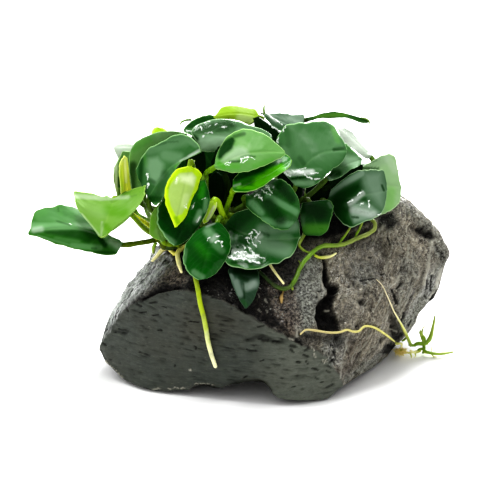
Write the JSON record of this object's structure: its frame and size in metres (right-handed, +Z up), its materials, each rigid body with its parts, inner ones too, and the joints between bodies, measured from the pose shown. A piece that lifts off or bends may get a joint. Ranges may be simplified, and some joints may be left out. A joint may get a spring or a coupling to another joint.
{
  "type": "anubias plant on stone",
  "caption": "Small broad-leaved aquarium plant with a creeping stem and roots that grip a dark lava-like stone, free-standing on the stone's underside.",
  "frame": {"origin": "middle of the object's underside, in the plane that the stone rests on", "axes": "+X to the right along the stone's long way, +Y to the back, +Z up; the broad smooth face of the stone looks to -Y"},
  "size_m": [0.1836, 0.0961, 0.1086],
  "materials": {
    "stone": "dark grey-brown lava-like stone, wet in places, with fine strata and pits",
    "stem": "green-brown creeping stem",
    "leaf_mature": "waxy deep green leaf with a grey-green sheen",
    "leaf_dark": "glossy dark green leaf",
    "leaf_bright": "glossy bright green leaf with a pale rim",
    "leaf_young": "soft light green young leaf",
    "leaf_yellow": "yellow-green new leaf",
    "root_pale": "cream-yellow root",
    "root_green": "yellow-green root",
    "fibre": "rusty brown root fibres"
  },
  "bodies": {
    "root": {"stone": "stone", "rhizome_main": "stem", "rhizome_branch": "stem", "leaf_01": "leaf_mature", "leaf_02": "leaf_young", "leaf_03": "leaf_yellow", "leaf_04": "leaf_mature", "leaf_05": "leaf_mature", "leaf_06": "leaf_mature", "leaf_07": "leaf_yellow", "leaf_08": "leaf_mature", "leaf_09": "leaf_mature", "leaf_10": "leaf_bright", "leaf_11": "leaf_bright", "leaf_12": "leaf_yellow", "leaf_13": "leaf_dark", "leaf_14": "leaf_yellow", "leaf_15": "leaf_young", "leaf_16": "leaf_dark", "leaf_17": "leaf_mature", "leaf_18": "leaf_mature", "leaf_19": "leaf_mature", "leaf_20": "leaf_mature", "leaf_21": "leaf_mature", "leaf_22": "leaf_mature", "leaf_23": "leaf_dark", "leaf_24": "leaf_dark", "leaf_25": "leaf_yellow", "leaf_26": "leaf_mature", "leaf_27": "leaf_mature", "leaf_28": "leaf_mature", "leaf_29": "leaf_dark", "leaf_30": "leaf_dark", "leaf_31": "leaf_dark", "leaf_32": "leaf_mature", "leaf_33": "leaf_mature", "leaf_34": "leaf_mature", "leaf_35": "leaf_mature", "leaf_36": "leaf_dark", "leaf_37": "leaf_dark", "root_01": "root_pale", "root_02": "root_pale", "root_03": "root_pale", "root_04": "root_green", "root_05": "root_pale", "root_06": "root_green", "root_07": "root_pale", "root_08": "root_green", "root_09": "root_green", "root_10": "root_pale", "root_11": "root_pale", "root_12": "root_pale", "root_13": "root_green", "root_14": "root_green", "root_15": "root_pale", "root_16": "root_green", "fibre_tuft": "fibre"}
  },
  "joints": []
}
